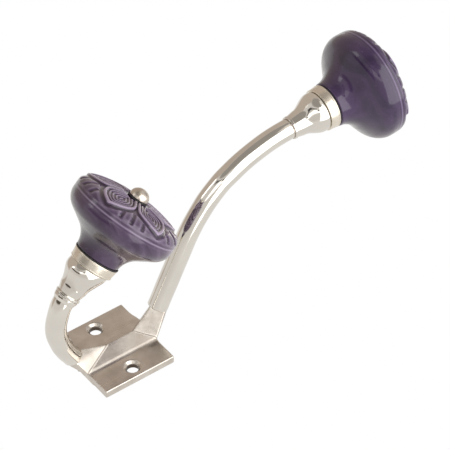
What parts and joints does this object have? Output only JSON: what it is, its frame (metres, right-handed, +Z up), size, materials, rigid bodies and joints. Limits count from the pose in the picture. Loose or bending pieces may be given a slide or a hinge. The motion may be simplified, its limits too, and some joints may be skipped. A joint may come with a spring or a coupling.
{
  "type": "coat hook",
  "caption": "Wall-mounted coat hook with floral ceramic knobs on curved nickel-plated arms above and below a screwed plate.",
  "frame": {"origin": "centre of the wall plate's flat back face, midway between the two screw holes", "axes": "+Y into the wall, +Z up the wall, +X to the right for someone facing the wall; the hook stands out towards -Y"},
  "size_m": [0.042, 0.0905, 0.1549],
  "materials": {
    "cast_nickel": "cast and hand-ground brass, nickel plated, warm grey with soft ground marks",
    "polished_nickel": "polished nickel plate with a faint warm tint",
    "turned_nickel": "turned ring, nickel plated, fine circular marks",
    "satin_nickel": "nickel-plated domed bolt, lightly worn",
    "steel": "plain zinc-plated steel",
    "black_rubber": "matt black fibre or rubber ring",
    "purple_glaze": "deep purple gloss glaze, paler lilac where it thins over the raised flower"
  },
  "bodies": {
    "root": {"wall_plate": "cast_nickel", "upper_arm": "polished_nickel", "lower_arm": "polished_nickel", "upper_cup": "polished_nickel", "lower_cup": "polished_nickel"},
    "upper_washer": {"upper_lock_washer": "steel"},
    "upper_knob_unit": {"upper_knob": "purple_glaze", "upper_bolt": "satin_nickel", "upper_head_washer": "black_rubber", "upper_gasket": "black_rubber", "upper_ferrule": "turned_nickel", "upper_nut": "steel"},
    "lower_washer": {"lower_lock_washer": "steel"},
    "lower_knob_unit": {"lower_knob": "purple_glaze", "lower_bolt": "satin_nickel", "lower_head_washer": "black_rubber", "lower_gasket": "black_rubber", "lower_ferrule": "turned_nickel", "lower_nut": "steel"}
  },
  "joints": [
    {"name": "upper_lift", "type": "slide", "parent": "root", "child": "upper_washer", "axis": [0, -0.0698, 0.9976], "range_m": [0, 0.00455]},
    {"name": "upper_turn", "type": "hinge", "parent": "upper_washer", "child": "upper_knob_unit", "pos_m": [0, -0.06808, 0.09378], "axis": [0, -0.0698, 0.9976], "range_deg": [0, 2340]},
    {"name": "lower_lift", "type": "slide", "parent": "root", "child": "lower_washer", "axis": [0, -0.6884, 0.7254], "range_m": [0, 0.00455]},
    {"name": "lower_turn", "type": "hinge", "parent": "lower_washer", "child": "lower_knob_unit", "pos_m": [0, -0.04857, -0.00756], "axis": [0, -0.6884, 0.7254], "range_deg": [0, 2340]}
  ],
  "couplings": [
    {"joint": "upper_lift", "follows": "upper_turn", "m_per_rad": 0.00011141},
    {"joint": "lower_lift", "follows": "lower_turn", "m_per_rad": 0.00011141}
  ]
}
